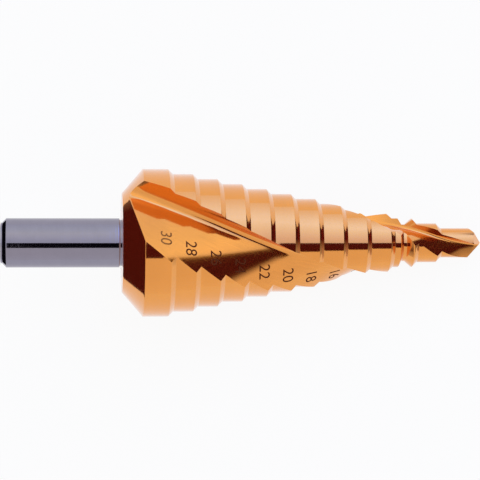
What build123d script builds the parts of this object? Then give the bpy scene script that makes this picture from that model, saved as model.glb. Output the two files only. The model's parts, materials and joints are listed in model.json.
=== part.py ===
from build123d import *
import os
from math import atan2, cos, degrees, hypot, log, pi, radians, sin, tan

# Two-flute step drill, 6 to 30 mm in steps of 2 mm, with spiral flutes and a plain round shank.
# It is one solid: turned from a bar, fluted, and ground to a point.  Millimetres and degrees.
# The drill is made along +X with its tip forward, x = 0 being the back face of the head, and
# is then laid on a flat surface as it comes to rest.

# Shank
shank_diameter = 10.0
shank_length = 24.0
shank_chamfer = 0.75
pip_diameter = 8.2
pip_length = 0.4
undercut_depth = 0.3
undercut_width = 0.5

# Head: back face, back cone and steps
back_face_diameter = 20.2
back_cone_length = 4.2
largest_diameter = 30.0
largest_length = 5.15
step_growth = 2.0
step_pitch = 5.0
step_cone_length = 1.0

# Chip groove, turned behind the front edge of the second step from the pilot
groove_depth = 1.23
groove_floor = 0.65
groove_front_length = 1.45
groove_back_length = 0.75

# Pilot and four-facet point
pilot_diameter = 6.0
pilot_length = 7.55
point_angle = 118.0
lip_clearance = 11.0
heel_facet_slope = 41.5
heel_facet_turn = 100.0

# Flutes: right-hand spiral, cut by one form that narrows towards the tip.  The widening is the
# power of the distance by which the angle between cutting edge and heel grows.
flute_count = 2
flute_start = 32.3
helix_angle = 26.1
pilot_lead = 60.0
core_radius_back = 11.5
core_radius_tip = 0.8
gullet_radius_back = 2.1
gullet_radius_tip = 0.45
flute_width_back = 60.5
flute_width_tip = 90.0
flute_widening = 2.5
face_crown = 0.08

# How finely the flute form is followed, and how far it reaches past the steps
section_turn = 15.0
cutter_reach = 1.2

# Nose-down tilt at which it lies, flute down, on the heel of the largest step, a cutting
# corner of the 24 mm step and the front edge of the 22 mm step
rest_tilt = 9.34

# Worked out from the sizes above
step_count = int((largest_diameter - pilot_diameter) / step_growth)
largest_front = back_cone_length + largest_length
last_step_front = largest_front + (step_count - 1) * step_pitch
pilot_shoulder = last_step_front + pilot_length
tip = pilot_shoulder + pilot_diameter / 2 / tan(radians(point_angle / 2))
taper = step_growth / 2 / step_pitch


def envelope(x):
    """Radius at x of the cone through the front edges of the steps."""
    return max(largest_diameter / 2 - taper * (x - largest_front), pilot_diameter / 2)


def along_flute(back, front, x, power=1):
    """A flute size at x, going from the back face of the head to the pilot's shoulder."""
    share = min(max(x / pilot_shoulder, 0), 1)
    return back + (front - back) * share ** power


def twist_rate(x):
    """Turn of the flute in radians per millimetre: even helix angle, then even lead on the pilot."""
    return tan(radians(helix_angle)) / envelope(x) if x < last_step_front else 2 * pi / pilot_lead


def twist(x):
    """Turn of the flute at x, in degrees, from its start at the back face."""
    on_cone = tan(radians(helix_angle)) / taper * log(envelope(0) / envelope(min(x, last_step_front)))
    return flute_start + degrees(on_cone + 2 * pi * max(x - last_step_front, 0) / pilot_lead)


def polar(radius, angle):
    return Vector(radius * cos(radians(angle)), radius * sin(radians(angle)))


def turned_blank():
    """The body of revolution: shank, back cone, steps and pilot, up to the tip."""
    shank = shank_diameter / 2
    neck = shank - undercut_depth
    end = -shank_length
    outline = [(end - pip_length, 0), (end - pip_length, pip_diameter / 2), (end, pip_diameter / 2),
               (end, shank - shank_chamfer), (end + shank_chamfer, shank),
               (-undercut_width, shank), (-undercut_width, neck), (0, neck),
               (0, back_face_diameter / 2), (back_cone_length, largest_diameter / 2)]
    for step in range(step_count):
        front = largest_front + step * step_pitch
        radius = (largest_diameter - step * step_growth) / 2
        if step == step_count - 2:
            groove_front = front - groove_front_length
            groove_back = groove_front - groove_floor
            outline += [(groove_back - groove_back_length, radius), (groove_back, radius - groove_depth),
                        (groove_front, radius - groove_depth)]
        next_radius = radius - step_growth / 2 if step < step_count - 1 else pilot_diameter / 2
        outline += [(front, radius), (front + step_cone_length, next_radius)]
    outline += [(tip, pilot_diameter / 2), (tip, 0)]
    profile = make_face(Polyline([(x, 0, r) for x, r in outline], close=True))
    return revolve(profile, Axis.X)


def flute_section(x):
    """The flute form at x: a radial rake face, a rounded gullet and a crowned face to the heel."""
    core = polar(along_flute(core_radius_back, core_radius_tip, x), 0)
    width = along_flute(flute_width_back, flute_width_tip, x, flute_widening)
    heel = polar(envelope(x), width)
    chord = heel - core
    crown = (core + heel) / 2 + Vector(chord.Y, -chord.X) * face_crown
    face = ThreePointArc(core, crown, heel)
    reach = cutter_reach * envelope(x)
    run_out = Line(heel, heel + (face % 1) * (reach - envelope(x)))
    outside = ThreePointArc(run_out @ 1, polar(reach, width / 2), polar(reach, 0))
    rake = Line(polar(reach, 0), core)
    section = make_face(Curve() + [face, run_out, outside, rake])
    gullet = section.vertices().sort_by_distance((0, 0, 0))[0]
    section = fillet(gullet, along_flute(gullet_radius_back, gullet_radius_tip, x))
    edge_direction = (0, cos(radians(twist(x))), sin(radians(twist(x))))
    return Plane((x, 0, 0), x_dir=edge_direction, z_dir=(1, 0, 0)) * section


def flute_cutter():
    stations = [-1.0]
    while stations[-1] < tip:
        stations.append(stations[-1] + radians(section_turn) / twist_rate(stations[-1]))
    return loft([flute_section(x) for x in stations])


def facet_plane(slope, angle):
    """A plane through the tip that falls back by slope, steepest in the direction of angle."""
    fall = polar(slope, angle)
    return Plane((tip, 0, 0), z_dir=(1, fall.X, fall.Y))


def point_facets(lip_angle):
    """The two facets ground behind one lip: the lip's own relief, and the heel behind it."""
    lip_fall = 1 / tan(radians(point_angle / 2))
    relief_fall = tan(radians(lip_clearance))
    relief_turn = degrees(atan2(relief_fall, lip_fall))
    return [facet_plane(hypot(lip_fall, relief_fall), lip_angle - relief_turn),
            facet_plane(tan(radians(heel_facet_slope)), lip_angle - heel_facet_turn)]


def build_drill():
    drill = turned_blank()
    cutter = flute_cutter()
    for flute in range(flute_count):
        turn = flute * 360 / flute_count
        drill -= cutter.rotate(Axis.X, turn)
        for facet in point_facets(twist(pilot_shoulder) + turn):
            drill = split(drill, bisect_by=facet, keep=Keep.BOTTOM)
    return drill


def lie_down(drill):
    """The drill tipped onto the surface z = 0, with the middle of its length over the origin."""
    drill = drill.rotate(Axis.Y, rest_tilt)
    box = drill.bounding_box()
    return drill.translate((-box.center().X, -box.center().Y, -box.min.Z))


step_drill = lie_down(build_drill())
os.makedirs("parts", exist_ok=True)
export_step(step_drill, "parts/step_drill.step")
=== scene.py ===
import json
from math import atan2, ceil, cos, degrees, e, hypot, log, pi, radians, sin, tan

import bmesh
import bpy
from mathutils import Matrix, Vector


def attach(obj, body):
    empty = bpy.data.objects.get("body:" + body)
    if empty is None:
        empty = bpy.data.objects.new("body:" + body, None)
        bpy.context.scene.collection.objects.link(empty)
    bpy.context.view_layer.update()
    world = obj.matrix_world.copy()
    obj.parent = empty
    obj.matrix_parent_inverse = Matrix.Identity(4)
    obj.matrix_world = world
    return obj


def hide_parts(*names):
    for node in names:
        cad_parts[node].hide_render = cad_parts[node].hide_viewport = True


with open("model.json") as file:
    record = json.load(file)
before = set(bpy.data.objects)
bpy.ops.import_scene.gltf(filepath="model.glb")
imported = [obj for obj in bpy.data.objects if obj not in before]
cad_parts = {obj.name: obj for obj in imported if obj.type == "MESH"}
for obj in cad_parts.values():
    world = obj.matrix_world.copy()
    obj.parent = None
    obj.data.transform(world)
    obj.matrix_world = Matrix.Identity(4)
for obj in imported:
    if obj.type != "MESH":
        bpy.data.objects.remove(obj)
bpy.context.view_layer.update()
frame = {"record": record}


# ---------------------------------------------------------------------------------------------
# How the drill lies.  It rests nose down on its steps, so its axis is tilted, and the clamping
# length of the shank gives that axis.  Each piece is made in the drill's own frame, with +X
# towards the tip and the middle of the head's back face at the origin, and is then laid down.
# ---------------------------------------------------------------------------------------------
MM = 0.001
undercut_width = 0.5 * MM

clamping = next(mount for mount in frame["record"]["mounts"] if mount["name"] == "shank")
forward = -Vector(clamping["axis"]).normalized()
sideways = Vector((0, 1, 0))
clamping_length = clamping["dims"]["length_mm"] * MM
back_face_centre = Vector(clamping["pos_m"]) + forward * (clamping_length / 2 + undercut_width)
laid_down = Matrix((forward, sideways, forward.cross(sideways))).transposed().to_4x4()
laid_down.translation = back_face_centre


# ---------------------------------------------------------------------------------------------
# The head: high-speed steel, turned to a back cone, twelve steps and a pilot, then cut by
# two right-hand spiral flutes, ground to a four-facet point and coated with titanium nitride.
# A node tree winds four strips round the turned outline: rake face, gullet, broad face, land.
# ---------------------------------------------------------------------------------------------
back_face_radius = 10.1 * MM
back_cone_length = 4.2 * MM
largest_radius = 15 * MM
largest_length = 5.15 * MM
step_drop = 1 * MM
step_pitch = 5 * MM
step_cone_length = 1 * MM
step_count = 12
pilot_radius = 3 * MM
pilot_length = 7.55 * MM
point_angle = radians(118)

groove_depth = 1.23 * MM
groove_floor = 0.65 * MM
groove_front_length = 1.45 * MM
groove_back_length = 0.75 * MM

largest_front = back_cone_length + largest_length
last_step_front = largest_front + (step_count - 1) * step_pitch
pilot_shoulder = last_step_front + pilot_length
tip = pilot_shoulder + pilot_radius / tan(point_angle / 2)

flute_count = 2
flute_sizes = {
    "Flute Start": radians(32.3),
    "Helix Angle": radians(26.1),
    "Pilot Lead": 60 * MM,
    "Core Radius at Back": 11.5 * MM,
    "Core Radius at Tip": 0.8 * MM,
    "Gullet Radius at Back": 2.1 * MM,
    "Gullet Radius at Tip": 0.45 * MM,
    "Flute Width at Back": radians(60.5),
    "Flute Width at Tip": radians(90),
    "Widening": 2.5,
    "Face Crown": 0.08,
    "Largest Radius": largest_radius,
    "Largest Step Front": largest_front,
    "Taper": step_drop / step_pitch,
    "Pilot Radius": pilot_radius,
    "Last Step Front": last_step_front,
    "Pilot Shoulder": pilot_shoulder,
}


class Value:
    """A number that a node tree works out, so that a formula is written as plain arithmetic."""

    def __init__(self, tree, socket):
        self.tree, self.socket = tree, socket

    def maths(self, operation, *others):
        node = self.tree.nodes.new("ShaderNodeMath")
        node.operation = operation
        for socket, value in zip(node.inputs, (self, *others)):
            set_input(self.tree, socket, value)
        return Value(self.tree, node.outputs[0])

    def __add__(self, other):
        return self.maths("ADD", other)

    def __sub__(self, other):
        return self.maths("SUBTRACT", other)

    def __rsub__(self, other):
        return self * -1 + other

    def __mul__(self, other):
        return self.maths("MULTIPLY", other)

    def __truediv__(self, other):
        return self.maths("DIVIDE", other)

    __radd__ = __add__
    __rmul__ = __mul__

    def sine(self):
        return self.maths("SINE")

    def cosine(self):
        return self.maths("COSINE")

    def root(self):
        return self.maths("MAXIMUM", 0).maths("SQRT")

    def arcsine(self):
        return self.maths("ARCSINE")

    def arccosine(self):
        return self.maths("MAXIMUM", -1).maths("MINIMUM", 1).maths("ARCCOSINE")

    def least(self, other):
        return self.maths("MINIMUM", other)

    def most(self, other):
        return self.maths("MAXIMUM", other)


def set_input(tree, socket, value):
    """Links a value or a socket to an input, or writes a plain number there."""
    if isinstance(value, Value):
        value = value.socket
    if isinstance(value, bpy.types.NodeSocket):
        tree.links.new(value, socket)
    else:
        socket.default_value = value


def add_node(tree, kind, inputs=(), **settings):
    """A new node with its settings and inputs, the inputs given by name or by number."""
    node = tree.nodes.new(kind)
    for name, setting in settings.items():
        setattr(node, name, setting)
    for name, value in dict(inputs).items():
        set_input(tree, node.inputs[name], value)
    return node


def parts_of(tree, vector):
    """The three parts of a vector."""
    parts = add_node(tree, "ShaderNodeSeparateXYZ", {0: vector})
    return [Value(tree, parts.outputs[name]) for name in "XYZ"]


def vector_of(tree, x, y, z):
    return add_node(tree, "ShaderNodeCombineXYZ", {"X": x, "Y": y, "Z": z}).outputs[0]


def length_of(across, up):
    return (across * across + up * up).root()


def angle_of(across, up):
    return up.maths("ARCTAN2", across)


def new_tree(name, sizes):
    """An empty geometry tree with one named input for each size."""
    tree = bpy.data.node_groups.new(name, "GeometryNodeTree")
    tree.interface.new_socket("Geometry", in_out="INPUT", socket_type="NodeSocketGeometry")
    for size in sizes:
        tree.interface.new_socket(size, in_out="INPUT", socket_type="NodeSocketFloat")
    tree.interface.new_socket("Geometry", in_out="OUTPUT", socket_type="NodeSocketGeometry")
    group_input = tree.nodes.new("NodeGroupInput")
    named = {size: Value(tree, group_input.outputs[size]) for size in sizes}
    return tree, group_input.outputs["Geometry"], named


def grown(name, start_mesh, tree, sizes):
    """Runs a tree on a mesh with its sizes set, and returns the result as a plain object.

    The empty material slot that the start mesh leaves is taken out.
    """
    maker = bpy.data.objects.new(name + "_maker", start_mesh)
    bpy.context.scene.collection.objects.link(maker)
    modifier = maker.modifiers.new(name, "NODES")
    modifier.node_group = tree
    for item in tree.interface.items_tree:
        if item.in_out == "INPUT" and item.name in sizes:
            modifier[item.identifier] = sizes[item.name]
    bpy.context.view_layer.update()
    evaluated = maker.evaluated_get(bpy.context.evaluated_depsgraph_get())
    mesh = bpy.data.meshes.new_from_object(evaluated)
    bpy.data.objects.remove(maker)
    mesh.name = name
    for number in reversed(range(len(mesh.materials))):
        if mesh.materials[number] is None:
            mesh.materials.pop(index=number)
    piece = bpy.data.objects.new(name, mesh)
    bpy.context.scene.collection.objects.link(piece)
    return piece


def flute_form(size, station):
    """The flute's section at a station along the drill, with the rake face along the first axis."""
    form = {}
    along = (station / size["Pilot Shoulder"]).least(1)
    widened = along.maths("POWER", size["Widening"])
    for part, share in (("Core Radius", along), ("Gullet Radius", along), ("Flute Width", widened)):
        back, front = size[part + " at Back"], size[part + " at Tip"]
        form[part] = back + (front - back) * share

    on_cone = station.least(size["Last Step Front"])
    cone_radius = size["Largest Radius"] + size["Taper"] * (size["Largest Step Front"] - on_cone)
    back_radius = size["Largest Radius"] + size["Taper"] * size["Largest Step Front"]
    on_taper = (back_radius / cone_radius).maths("LOGARITHM", e)
    spiral = size["Helix Angle"].maths("TANGENT") / size["Taper"] * on_taper
    on_pilot = (station - size["Last Step Front"]).most(0)
    form["Turn"] = size["Flute Start"] + spiral + on_pilot / size["Pilot Lead"] * (2 * pi)
    cone = size["Largest Radius"] - size["Taper"] * (station - size["Largest Step Front"])
    envelope = cone.most(size["Pilot Radius"])

    core, gullet = form["Core Radius"], form["Gullet Radius"]
    heel_across = envelope * form["Flute Width"].cosine()
    heel_up = envelope * form["Flute Width"].sine()
    chord = length_of(heel_across - core, heel_up)
    bow = size["Face Crown"] * chord
    form["Face Radius"] = face = chord * chord / (bow * 8) + bow / 2
    form["Face Centre"] = (core + heel_across) / 2 - heel_up / chord * (face - bow), \
        heel_up / 2 + (heel_across - core) / chord * (face - bow)
    face_across, face_up = form["Face Centre"]
    reach, rise = face + gullet, gullet - face_up
    gullet_across = face_across + (reach * reach - rise * rise).root()
    form["Gullet Centre"] = gullet_across, gullet
    form["Face Start"] = (rise / reach).arcsine()
    return form


def crossing(radius, distance, arc):
    """How far round an arc it meets the turned body, counted from the line through its centre."""
    left_over = radius * radius - distance * distance - arc * arc
    return (left_over / (distance * arc * 2)).arccosine()


def flute_borders(form, radius):
    """Where the flute's faces begin and end at a section where the turned body has this radius."""
    face, (face_across, face_up) = form["Face Radius"], form["Face Centre"]
    gullet, (gullet_across, gullet_up) = form["Gullet Radius"], form["Gullet Centre"]
    face_distance = length_of(face_across, face_up)
    face_side = pi - (face_up / face_distance).arcsine()
    to_heel = crossing(radius, face_distance, face)
    gullet_distance = length_of(gullet_across, gullet_up)
    gullet_side = angle_of(gullet_across, gullet_up)
    opening = crossing(radius, gullet_distance, gullet)
    return {
        "Heel": (face_side - to_heel).most(form["Face Start"]),
        "Gullet Start": (gullet_side + 2 * pi - opening).least(1.5 * pi),
        "Gullet End": (form["Face Start"] + pi).most(gullet_side + opening),
        "Rake Depth": (radius - gullet_across).most(0),
    }


def on_gullet(form, angle):
    across, up = form["Gullet Centre"]
    return across + form["Gullet Radius"] * angle.cosine(), up + form["Gullet Radius"] * angle.sine()


def on_face(form, borders, angle):
    """A point on the broad face, which starts where the gullet ends."""
    face, start = form["Face Radius"], form["Face Start"]
    across, up = on_gullet(form, borders["Gullet End"])
    return across + face * (angle.cosine() - start.cosine()), up + face * (angle.sine() - start.sine())


def rake_strip(form, borders, radius, share):
    across, up = on_gullet(form, borders["Gullet Start"])
    return across + borders["Rake Depth"] * (1 - share), up


def gullet_strip(form, borders, radius, share):
    start, end = borders["Gullet Start"], borders["Gullet End"]
    return on_gullet(form, start + (end - start) * share)


def face_strip(form, borders, radius, share):
    start = form["Face Start"]
    return on_face(form, borders, start + (borders["Heel"] - start) * share)


def land_strip(form, borders, radius, share):
    heel = angle_of(*on_face(form, borders, borders["Heel"]))
    across, up = on_gullet(form, borders["Gullet Start"])
    next_edge = angle_of(across + borders["Rake Depth"], up) + 2 * pi / flute_count
    angle = heel + (next_edge - heel) * share
    return radius * angle.cosine(), radius * angle.sine()


def wound_strip(tree, size, outline, rows, strip, columns, width):
    """A grid with one row for each point of the turned outline, set on one face of the flute.

    Its corners keep where they lie across the flute, or -1 on the land, for the grinding lines.
    """
    grid = add_node(tree, "GeometryNodeMeshGrid", {
        "Size X": 1.0, "Size Y": rows - 1, "Vertices X": columns + 1, "Vertices Y": rows})
    position = add_node(tree, "GeometryNodeInputPosition").outputs[0]
    column, row, _ = parts_of(tree, position)
    share = column + 0.5
    sample = add_node(tree, "GeometryNodeSampleIndex", data_type="FLOAT_VECTOR", domain="POINT")
    set_input(tree, sample.inputs["Geometry"], outline)
    set_input(tree, sample.inputs["Value"], position)
    set_input(tree, sample.inputs["Index"], (row + (rows - 1) / 2).maths("ROUND"))
    station, _, radius = parts_of(tree, sample.outputs["Value"])

    form = flute_form(size, station)
    across, up = strip(form, flute_borders(form, radius), radius, share)
    distance = length_of(across, up).least(radius)
    angle = angle_of(across, up) + form["Turn"]
    wound = vector_of(tree, station, distance * angle.cosine(), distance * angle.sine())
    across_flute = share * width if width else -1
    kept = add_node(tree, "GeometryNodeStoreNamedAttribute", {
        "Geometry": grid.outputs["Mesh"], "Name": "across_flute",
        "Value": across_flute}, domain="CORNER")
    placed = add_node(tree, "GeometryNodeSetPosition", {"Geometry": kept.outputs[0], "Position": wound})
    return placed.outputs[0]


# Each face of the flute, its number of columns and about how many millimetres wide it is, with
# 0 for the land, which has no lines across the flute.
flute_strips = (rake_strip, 10, 4), (gullet_strip, 10, 3), (face_strip, 26, 12), (land_strip, 44, 0)


def closed_and_painted(tree, parts, gap, material):
    """Ends a tree: merges what touches, gives it its material and returns the finished tree."""
    closed = add_node(tree, "GeometryNodeMergeByDistance", {
        "Geometry": parts.outputs[0], "Distance": gap})
    painted = add_node(tree, "GeometryNodeSetMaterial", {
        "Geometry": closed.outputs[0], "Material": material})
    output = tree.nodes.new("NodeGroupOutput")
    tree.links.new(painted.outputs[0], output.inputs[0])
    return tree


def head_tree(rows, steel):
    tree, outline, size = new_tree("fluted_head", flute_sizes)
    strips = add_node(tree, "GeometryNodeJoinGeometry")
    for strip, columns, width in flute_strips:
        tree.links.new(wound_strip(tree, size, outline, rows, strip, columns, width), strips.inputs[0])
    turns = add_node(tree, "GeometryNodeMeshLine", {"Count": flute_count, "Offset": (0, 0, 0)})
    number = Value(tree, add_node(tree, "GeometryNodeInputIndex").outputs[0])
    copies = add_node(tree, "GeometryNodeInstanceOnPoints", {
        "Points": turns.outputs[0], "Instance": strips.outputs[0],
        "Rotation": vector_of(tree, number * (2 * pi / flute_count), 0.0, 0.0)})
    whole = add_node(tree, "GeometryNodeRealizeInstances", {0: copies.outputs[0]})
    return closed_and_painted(tree, whole, gap=0.001 * MM, material=steel)


def head_outline():
    """The corners of the head's turned outline, each a distance along the drill and a radius."""
    corners = [(0, 0), (0, back_face_radius), (back_cone_length, largest_radius)]
    for step in range(step_count):
        front = largest_front + step * step_pitch
        radius = largest_radius - step * step_drop
        if step == step_count - 2:
            groove_front = front - groove_front_length
            groove_back = groove_front - groove_floor
            corners += [(groove_back - groove_back_length, radius),
                        (groove_back, radius - groove_depth), (groove_front, radius - groove_depth)]
        next_radius = radius - step_drop if step < step_count - 1 else pilot_radius
        corners += [(front, radius), (front + step_cone_length, next_radius)]
    return corners + [(tip + step_drop, pilot_radius), (tip + step_drop, 0)]


def rounded_and_divided(corners, rounding, spacing, pieces=3):
    """An outline's points, with its corners rounded by small arcs and its long runs divided."""
    corners = [Vector(corner) for corner in corners]
    points = [corners[0]]
    for before, corner, after in zip(corners, corners[1:], corners[2:]):
        back, on = (before - corner).normalized(), (after - corner).normalized()
        half = back.angle(on) / 2
        middle = (back + on).normalized()
        centre = corner + middle * (rounding / sin(half))
        side = Vector((-middle.y, middle.x))
        side = side if back.dot(side) > 0 else -side
        for piece in range(pieces + 1):
            swing = (pi / 2 - half) * (1 - 2 * piece / pieces)
            points.append(centre + (side * sin(swing) - middle * cos(swing)) * rounding)
    points.append(corners[-1])
    divided = [points[0]]
    for start, end in zip(points, points[1:]):
        runs = max(1, ceil(abs(end.x - start.x) / spacing))
        divided += [start.lerp(end, (run + 1) / runs) for run in range(runs)]
    return divided


def outline_mesh(name, points):
    mesh = bpy.data.meshes.new(name)
    edges = [(number, number + 1) for number in range(len(points) - 1)]
    mesh.from_pydata([(point.x, 0, point.y) for point in points], edges, [])
    return mesh


lip_clearance = radians(11)
heel_facet_slope = radians(41.5)
heel_facet_turn = radians(100)


def turn_at_shoulder():
    """How far the flutes have turned where the point begins, in radians."""
    back = largest_radius + step_drop / step_pitch * largest_front
    front = largest_radius + step_drop / step_pitch * (largest_front - last_step_front)
    spiral = tan(flute_sizes["Helix Angle"]) * step_pitch / step_drop * log(back / front)
    on_pilot = 2 * pi * pilot_length / flute_sizes["Pilot Lead"]
    return flute_sizes["Flute Start"] + spiral + on_pilot


def grind_point(piece):
    """Cuts the four facets of the point, each a plane through the tip."""
    shape = bmesh.new()
    shape.from_mesh(piece.data)
    lip_fall, relief_fall = 1 / tan(point_angle / 2), tan(lip_clearance)
    for flute in range(flute_count):
        lip = turn_at_shoulder() + flute * 2 * pi / flute_count
        lip_facet = hypot(lip_fall, relief_fall), lip - atan2(relief_fall, lip_fall)
        heel_facet = tan(heel_facet_slope), lip - heel_facet_turn
        for slope, angle in (lip_facet, heel_facet):
            everything = shape.verts[:] + shape.edges[:] + shape.faces[:]
            outward = 1, slope * cos(angle), slope * sin(angle)
            cut = bmesh.ops.bisect_plane(shape, geom=everything, dist=1e-8, plane_co=(tip, 0, 0),
                                         plane_no=outward, clear_outer=True)
            edges = [part for part in cut["geom_cut"] if isinstance(part, bmesh.types.BMEdge)]
            bmesh.ops.edgeloop_fill(shape, edges=edges)
    shape.to_mesh(piece.data)
    shape.free()


def keep_place(piece):
    """Keeps each point's place in the drill's own frame, so that the grain turns with the drill."""
    places = [number for vertex in piece.data.vertices for number in vertex.co]
    piece.data.attributes.new("drill_place", "FLOAT_VECTOR", "POINT").data.foreach_set("vector", places)


def noise(tree, x, y, z, detail=2.0):
    """Noise from 0 to 1, its grain set by how fast each of the three numbers grows."""
    node = add_node(tree, "ShaderNodeTexNoise", {
        "Vector": vector_of(tree, x, y, z), "Scale": 1.0, "Detail": detail})
    return Value(tree, node.outputs[0])


def around_drill(tree):
    """Place along the drill, turn about it in radians and distance from it, both lengths in mm."""
    kept = add_node(tree, "ShaderNodeAttribute", attribute_name="drill_place")
    along, across, up = (part / MM for part in parts_of(tree, kept.outputs["Vector"]))
    return along, angle_of(across, up), length_of(across, up)


def mixed(factor, first, second):
    return first + (second - first) * factor


def new_finish(name):
    material = bpy.data.materials.new(name)
    material.use_nodes = True
    tree = material.node_tree
    return material, tree, tree.nodes["Principled BSDF"]


def shaded(tree, finish, shade, colour):
    """Gives a finish its colour, made lighter or darker by the shade."""
    red, green, blue = (shade * level for level in colour)
    whole = add_node(tree, "ShaderNodeCombineColor", {"Red": red, "Green": green, "Blue": blue})
    set_input(tree, finish.inputs["Base Color"], whole.outputs[0])


scratch_depth = 0.01 * MM


def scratched(tree, finish, lines, strength):
    bump = add_node(tree, "ShaderNodeBump", {
        "Strength": strength, "Distance": scratch_depth, "Height": lines})
    set_input(tree, finish.inputs["Normal"], bump.outputs[0])


coating_colour = 0.84, 0.355, 0.056
undertone_colour = 0.75, 0.035, 0.015, 1
undertone_share = 0.10


def titanium_nitride():
    """Mirror-ground steel under a golden coating, with grinding lines and a deep red undertone."""
    material, tree, finish = new_finish("titanium_nitride")
    along, turn, distance = around_drill(tree)
    kept = add_node(tree, "ShaderNodeAttribute", attribute_name="across_flute")
    across = Value(tree, kept.outputs["Fac"])
    in_flute = across.maths("GREATER_THAN", -0.5)
    turned_lines = noise(tree, along * 14, turn * 0.5, distance * 14, detail=3.0)
    flute_lines = noise(tree, across * 3, along * 0.15, 0.0, detail=3.0)
    lines = mixed(in_flute, turned_lines, flute_lines)
    cloud = noise(tree, along * 0.35, turn * 0.8, distance * 0.35)

    shade = (lines - 0.5) * (in_flute * 0.18 + 0.10) + (cloud - 0.5) * 0.12 + 1
    shaded(tree, finish, shade, coating_colour)
    scratched(tree, finish, lines, strength=0.12)
    roughness = lines * 0.06 + cloud * 0.03 + in_flute * 0.045 + 0.035
    set_input(tree, finish.inputs["Roughness"], roughness)
    finish.inputs["Metallic"].default_value = 1
    finish.inputs["Coat Weight"].default_value = 1
    finish.inputs["Coat IOR"].default_value = 1.5
    finish.inputs["Coat Roughness"].default_value = 0.08
    undertone = add_node(tree, "ShaderNodeBsdfDiffuse", {"Color": undertone_colour})
    both = add_node(tree, "ShaderNodeMixShader", {
        0: undertone_share, 1: finish.outputs[0], 2: undertone.outputs[0]})
    tree.links.new(both.outputs[0], tree.nodes["Material Output"].inputs["Surface"])
    return material


edge_rounding = 0.05 * MM
sharp_edge = radians(25)

outline = rounded_and_divided(head_outline(), rounding=edge_rounding, spacing=0.25 * MM)
winding = head_tree(len(outline), titanium_nitride())
head = grown("coated_head", outline_mesh("head_outline", outline), winding, flute_sizes)
grind_point(head)
head_surface = head.data.copy()
keep_place(head)
head.data.transform(laid_down)
head.data.shade_smooth()
head.data.set_sharp_from_angle(angle=sharp_edge)
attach(head, "root")
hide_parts("step_drill")


# ---------------------------------------------------------------------------------------------
# The shank: left bare when the head is coated, turned and then ground round to fit a chuck.
# It has a small chamfer at its end, a shallow pip that the centre drill left on the end face,
# and a narrow undercut where it meets the head.
# ---------------------------------------------------------------------------------------------
shank_radius = 5 * MM
shank_length = 24 * MM
shank_chamfer = 0.75 * MM
pip_radius = 4.1 * MM
pip_length = 0.4 * MM
undercut_depth = 0.3 * MM
seat_depth = 0.2 * MM


def turned(name, points, segments):
    """A closed round piece, turned from its outline."""
    shape = bmesh.new()
    line = [shape.verts.new((point.x, 0, point.y)) for point in points]
    edges = [shape.edges.new(pair) for pair in zip(line, line[1:])]
    bmesh.ops.spin(shape, geom=line + edges, axis=(1, 0, 0), cent=(0, 0, 0), angle=2 * pi,
                   steps=segments)
    bmesh.ops.remove_doubles(shape, verts=shape.verts, dist=0.001 * MM)
    bmesh.ops.recalc_face_normals(shape, faces=shape.faces)
    mesh = bpy.data.meshes.new(name)
    shape.to_mesh(mesh)
    shape.free()
    piece = bpy.data.objects.new(name, mesh)
    bpy.context.scene.collection.objects.link(piece)
    return piece


steel_colour = 0.275, 0.26, 0.33


def ground_steel():
    """Bright steel with the fine lines of round grinding."""
    material, tree, finish = new_finish("ground_steel")
    along, turn, distance = around_drill(tree)
    lines = noise(tree, along * 20, turn * 0.4, distance * 20, detail=3.0)
    cloud = noise(tree, along * 0.5, turn * 1.5, distance)
    shaded(tree, finish, (lines - 0.5) * 0.12 + (cloud - 0.5) * 0.12 + 1, steel_colour)
    scratched(tree, finish, lines, strength=0.15)
    set_input(tree, finish.inputs["Roughness"], lines * 0.05 + cloud * 0.03 + 0.025)
    finish.inputs["Metallic"].default_value = 1
    return material


shank_end = -shank_length
neck_radius = shank_radius - undercut_depth
shank_outline = rounded_and_divided([
    (shank_end - pip_length, 0), (shank_end - pip_length, pip_radius), (shank_end, pip_radius),
    (shank_end, shank_radius - shank_chamfer), (shank_end + shank_chamfer, shank_radius),
    (-undercut_width, shank_radius), (-undercut_width, neck_radius), (seat_depth, neck_radius),
    (seat_depth, 0)], rounding=edge_rounding, spacing=0.2 * MM)
shank = turned("bare_shank", shank_outline, segments=128)
shank.data.materials.append(ground_steel())
keep_place(shank)
shank.data.transform(laid_down)
shank.data.shade_smooth()
shank.data.set_sharp_from_angle(angle=sharp_edge)
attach(shank, "root")
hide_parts("step_drill")


# ---------------------------------------------------------------------------------------------
# The size numbers: the diameters of the nine widest steps in millimetres, marked by laser on the
# broad face of one flute, about 1 mm behind each front edge, and read from gullet to heel.  Here
# each is a thin dark solid, pressed onto the face by rays, sunk a little and hardly proud.
# ---------------------------------------------------------------------------------------------
marked_steps = 9
mark_sizes = {
    **flute_sizes,
    "Step Pitch": step_pitch,
    "Mark Height": 3.2 * MM,
    "Mark Spacing": 1.0,
    "Mark Setback": 1.08 * MM,
    "Mark Facing": radians(17),
    "Mark Offset": 0.377,
    "Mark Sunk": 0.02 * MM,
    "Mark Proud": 0.012 * MM,
}


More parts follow.
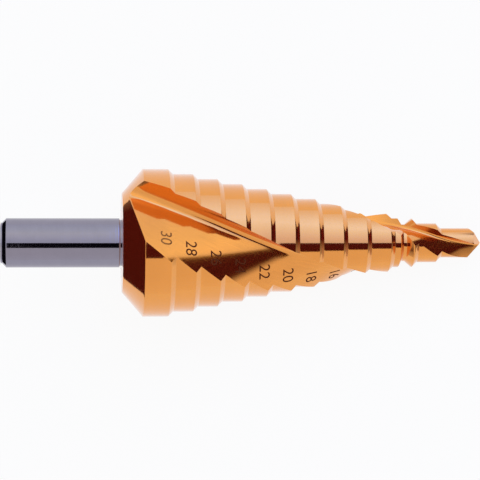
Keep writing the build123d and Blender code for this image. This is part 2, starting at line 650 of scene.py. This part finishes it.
def mark_tree(numbers, ink):
    """Writes each number on its step of the head, whose surface is the tree's input."""
    tree, surface, size = new_tree("size_marks", mark_sizes)
    marks = add_node(tree, "GeometryNodeJoinGeometry")
    for step, number in enumerate(numbers):
        front = size["Largest Step Front"] + size["Step Pitch"] * step
        station = front - size["Mark Setback"]
        facing = flute_form(size, station)["Turn"] + size["Mark Facing"]
        radius = size["Largest Radius"] - size["Taper"] * (station - size["Largest Step Front"])

        letters = add_node(tree, "GeometryNodeStringToCurves", {
            "String": number, "Size": size["Mark Height"],
            "Character Spacing": size["Mark Spacing"]}, align_x="CENTER", align_y="MIDDLE")
        curves = add_node(tree, "GeometryNodeRealizeInstances", {0: letters.outputs[0]})
        flat = add_node(tree, "GeometryNodeFillCurve", {"Curve": curves.outputs[0]})
        divided = add_node(tree, "GeometryNodeSubdivideMesh", {"Mesh": flat.outputs[0], "Level": 2})
        position = add_node(tree, "GeometryNodeInputPosition")
        rightward, upward, _ = parts_of(tree, position.outputs[0])
        to_heel = rightward + size["Mark Offset"] * radius
        to_tip = upward + station

        above = size["Largest Radius"] * 1.2
        source = vector_of(tree, to_tip, facing.cosine() * above - facing.sine() * to_heel,
                           facing.sine() * above + facing.cosine() * to_heel)
        inward = vector_of(tree, 0.0, facing.cosine() * -1, facing.sine() * -1)
        outward = vector_of(tree, 0.0, facing.cosine(), facing.sine())
        pressed = add_node(tree, "GeometryNodeRaycast", {
            "Target Geometry": surface, "Source Position": source, "Ray Direction": inward,
            "Ray Length": size["Largest Radius"] * 2})
        sunk = add_node(tree, "ShaderNodeVectorMath", {
            0: outward, "Scale": size["Mark Sunk"] * -1}, operation="SCALE")
        base = add_node(tree, "GeometryNodeSetPosition", {
            "Geometry": divided.outputs[0], "Position": pressed.outputs["Hit Position"],
            "Offset": sunk.outputs[0]})
        raised = add_node(tree, "GeometryNodeExtrudeMesh", {
            "Mesh": base.outputs[0], "Offset": outward,
            "Offset Scale": size["Mark Sunk"] + size["Mark Proud"], "Individual": False})
        under = add_node(tree, "GeometryNodeFlipFaces", {"Mesh": base.outputs[0]})
        tree.links.new(raised.outputs[0], marks.inputs[0])
        tree.links.new(under.outputs[0], marks.inputs[0])
    return closed_and_painted(tree, marks, gap=0.0005 * MM, material=ink)


mark_colour = 0.095, 0.020, 0.004
faint_colour = 0.30, 0.12, 0.03
faint_before = 13
faint_over = 5


def laser_mark():
    """Steel burnt dark by the laser, more faintly towards the back of the head."""
    material, tree, finish = new_finish("laser_mark")
    along, turn, distance = around_drill(tree)
    faint = ((along * -1 + faint_before) / faint_over).most(0).least(1)
    spots = noise(tree, along * 6, turn * 60, distance * 6, detail=3.0)
    colour = [mixed(faint, dark, pale) for dark, pale in zip(mark_colour, faint_colour)]
    shaded(tree, finish, (spots - 0.5) * 0.6 + 1, colour)
    finish.inputs["Roughness"].default_value = 0.6
    finish.inputs["Specular IOR Level"].default_value = 0.1
    return material


diameters = [2 * (largest_radius - step * step_drop) / MM for step in range(marked_steps)]
numbers = [str(round(diameter)) for diameter in diameters]
marks = grown("size_marks", head_surface, mark_tree(numbers, laser_mark()), mark_sizes)
keep_place(marks)
marks.data.transform(laid_down)
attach(marks, "root")


# ---------------------------------------------------------------------------------------------
# The studio: a pale floor under a dome of glowing paper, with a dark slit for the lens, a dark
# opening beyond the tip and one behind the shank, and a cool window on its upper side.  A dark
# card stands before the tip, and another behind the shank.  The camera sees neither dome nor card.
# ---------------------------------------------------------------------------------------------
floor_size = 6.4
floor_glow = 0.92
floor_colour = 0.8, 0.8, 0.8, 1
white = 1, 1, 1, 1
dome_radius = 3.0
dome_reach = 92
dome_rings = 48
dome_segments = 96

# Degrees on the dome.  Tipward and sideward count from straight up, the side is the turn about
# the drill's length from straight up, and the lean is towards the tip from square to the drill.
# The opening beyond the tip starts at the line through front_edge, and ends at front_low on one
# side and at a slanting line on the other.
slit_tipward, slit_side = (4.4, 44), (-29, -5.5)
front_edge = (39.5, -1.9), (54.6, 27)
front_spread = 1.2
front_low = -24
front_high, front_high_at, front_high_slope = 35, 60.5, -0.7
back_start, back_sideward = -58, (-40, 48)
window_lean, window_low_side = (2.3, 22), -7
dark_glow = 0.006, 0.005, 0.008, 1
paper_glow = (
    (-95, (0.96, 0.94, 0.94)), (-60, (0.90, 0.86, 0.85)), (-25, (0.90, 0.86, 0.84)),
    (-7, (0.88, 0.88, 0.94)), (7, (0.96, 0.97, 1.02)), (22, (1.10, 1.10, 1.10)),
    (40, (1.20, 1.20, 1.14)), (60, (1.08, 1.12, 1.12)), (95, (0.92, 0.94, 1.00)))
window_glow = (
    (-6, (0.78, 0.98, 2.0)), (5, (0.86, 1.05, 2.2)), (15, (0.92, 1.20, 2.6)),
    (29, (1.00, 1.40, 3.0)), (45, (1.08, 1.60, 3.8)), (59, (1.04, 1.50, 3.4)),
    (77, (0.98, 1.25, 2.3)), (94, (0.95, 1.05, 1.4)))
glow_range = 100


def stage_mesh(name, corners, faces, material):
    mesh = bpy.data.meshes.new(name)
    mesh.from_pydata(corners, [], faces)
    mesh.materials.append(material)
    piece = bpy.data.objects.new(name, mesh)
    bpy.context.scene.collection.objects.link(piece)
    return piece


def stage_material(name):
    material = bpy.data.materials.new(name)
    material.use_nodes = True
    tree = material.node_tree
    tree.nodes.clear()
    return material, tree, tree.nodes.new("ShaderNodeOutputMaterial").inputs["Surface"]


def glow_of(tree, colour):
    return add_node(tree, "ShaderNodeEmission", {"Color": colour, "Strength": 1.0}).outputs[0]


def floor_material():
    """Matt pale paper, which the camera and the metal see as nearly white."""
    material, tree, surface = stage_material("pale_floor")
    path = add_node(tree, "ShaderNodeLightPath")
    camera_ray, glossy_ray, clear_ray = (Value(tree, path.outputs[kind]) for kind in (
        "Is Camera Ray", "Is Glossy Ray", "Is Transmission Ray"))
    seen = camera_ray.most(glossy_ray).most(clear_ray)
    matt = add_node(tree, "ShaderNodeBsdfDiffuse", {"Color": floor_colour})
    both = add_node(tree, "ShaderNodeMixShader", {
        0: seen * floor_glow, 1: matt.outputs[0], 2: glow_of(tree, white)})
    tree.links.new(both.outputs[0], surface)
    return material


def past(value, start, softness):
    """0 before the start, 1 beyond it, with a soft edge."""
    return ((value - start) / softness).most(0).least(1)


def short_of(value, end, softness):
    return past(value * -1, -end, softness)


def between(value, ends, softness):
    return past(value, ends[0], softness) * short_of(value, ends[1], softness)


def ramp(tree, value, stops):
    """A colour read off a list of stops over the glow's range of degrees."""
    node = add_node(tree, "ShaderNodeValToRGB", {0: (value + glow_range) / (2 * glow_range)})
    elements = node.color_ramp.elements
    for number, (degree, colour) in enumerate(stops):
        share = (degree + glow_range) / (2 * glow_range)
        stop = elements[0] if number == 0 else elements.new(share)
        stop.position = share
        stop.color = *colour, 1
    elements.remove(elements[len(stops)])
    return node.outputs[0]


def blended(tree, factor, first, second):
    """Goes from one colour to another."""
    node = add_node(tree, "ShaderNodeMix", {"Factor": factor}, data_type="RGBA")
    set_input(tree, node.inputs[6], first)
    set_input(tree, node.inputs[7], second)
    return node.outputs[2]


def dome_material():
    """Paper that glows inward, with its dark openings and its window."""
    material, tree, surface = stage_material("glowing_paper")
    place = add_node(tree, "ShaderNodeTexCoord").outputs["Object"]
    ahead, across, up = (part / dome_radius for part in parts_of(tree, place))
    from_top = up.least(1).most(-1).maths("ARCCOSINE") * degrees(1)
    level = length_of(ahead, across).most(0.0001)
    tipward, sideward = from_top * ahead / level, from_top * across / level
    side = angle_of(up, across) * degrees(1)
    drill_axis = laid_down.col[0]
    lean = (ahead * drill_axis.x + up * drill_axis.z).arcsine() * degrees(1)

    slit = between(tipward, slit_tipward, softness=0.5) * between(side, slit_side, softness=0.4)
    low, high = front_edge
    run, rise = high[0] - low[0], high[1] - low[1]
    beyond = ((tipward - low[0]) * rise - (sideward - low[1]) * run) / hypot(run, rise)
    front = past(beyond, -front_spread, softness=1) * past(sideward, front_low, softness=10)
    below_top = (tipward - front_high_at) * front_high_slope - sideward
    front = front * past(below_top, -front_high, softness=4)
    back = short_of(tipward, back_start, softness=6) * between(sideward, back_sideward, softness=8)

    in_window = between(lean, window_lean, softness=0.6) * past(side, window_low_side, softness=1)
    lit = blended(tree, in_window, ramp(tree, side, paper_glow), ramp(tree, side, window_glow))
    whole = blended(tree, slit.most(front).most(back), lit, dark_glow)
    tree.links.new(glow_of(tree, whole), surface)
    return material


half = floor_size / 2
floor_corners = [(-half, -half, 0), (half, -half, 0), (half, half, 0), (-half, half, 0)]
stage_mesh("floor", floor_corners, [(0, 1, 2, 3)], floor_material())

rings = [radians(dome_reach * ring / dome_rings) for ring in range(1, dome_rings + 1)]
turns = [2 * pi * segment / dome_segments for segment in range(dome_segments)]
dome_corners = [(0, 0, dome_radius)] + [
    (dome_radius * sin(ring) * cos(turn), dome_radius * sin(ring) * sin(turn), dome_radius * cos(ring))
    for ring in rings for turn in turns]
neighbours = [(1 + number, 1 + (number + 1) % dome_segments) for number in range(dome_segments)]
dome_faces = [(0, here, beside) for here, beside in neighbours]
for ring in range(dome_rings - 1):
    inner, outer = ring * dome_segments, (ring + 1) * dome_segments
    dome_faces += [(here + inner, here + outer, beside + outer, beside + inner)
                   for here, beside in neighbours]
dome = stage_mesh("dome", dome_corners, dome_faces, dome_material())
dome.visible_camera = False


def card_material():
    """A dark card with soft upright edges."""
    material, tree, surface = stage_material("dark_card")
    place = add_node(tree, "ShaderNodeTexCoord").outputs["Generated"]
    _, across, _ = parts_of(tree, place)
    clear = add_node(tree, "ShaderNodeBsdfTransparent")
    both = add_node(tree, "ShaderNodeMixShader", {
        0: between(across, (0, 1), softness=0.35), 1: clear.outputs[0], 2: glow_of(tree, dark_glow)})
    tree.links.new(both.outputs[0], surface)
    return material


# Where each card stands along X, from where to where it reaches along Y, and its height.
cards = {
    "front_card": (60 * MM, (-30 * MM, 66 * MM), 27 * MM),
    "back_card": (-62 * MM, (-110 * MM, 100 * MM), 46 * MM),
}
card_paint = card_material()
for name, (station, sides, height) in cards.items():
    card_corners = [(station, side, up) for side in sides for up in (0, height)]
    card = stage_mesh(name, card_corners, [(0, 1, 3, 2)], card_paint)
    card.visible_camera = False
    card.visible_diffuse = False
    card.visible_shadow = False

world = bpy.data.worlds.new("studio")
bpy.context.scene.world = world
world.use_nodes = True
background = world.node_tree.nodes["Background"]
background.inputs["Color"].default_value = white
background.inputs["Strength"].default_value = 1
bpy.context.scene.view_settings.view_transform = "Standard"

camera_turn = radians(94.7)
camera_yaw = radians(5.1418)
camera_distance = 402.05 * MM
camera_station = 24.08 * MM
camera_rise = 0.571 * MM
image_width = 480
focal_pixels = 1972

above = Vector((0, cos(camera_turn), sin(camera_turn)))
axis = Vector((1, 0, 0))
picture_up = Vector((0, sin(camera_turn), -cos(camera_turn)))
looking = axis * sin(camera_yaw) - above * cos(camera_yaw)
picture_right = axis * cos(camera_yaw) + above * sin(camera_yaw)
camera_data = bpy.data.cameras.new("camera")
camera_data.sensor_width = 36
camera_data.lens = camera_data.sensor_width * focal_pixels / image_width
camera = bpy.data.objects.new("camera", camera_data)
bpy.context.scene.collection.objects.link(camera)
place = Matrix((picture_right, picture_up, -looking)).transposed().to_4x4()
place.translation = axis * camera_station - looking * camera_distance + picture_up * camera_rise
camera.matrix_world = laid_down @ place
camera_data.clip_start = 0.01
bpy.context.scene.camera = camera
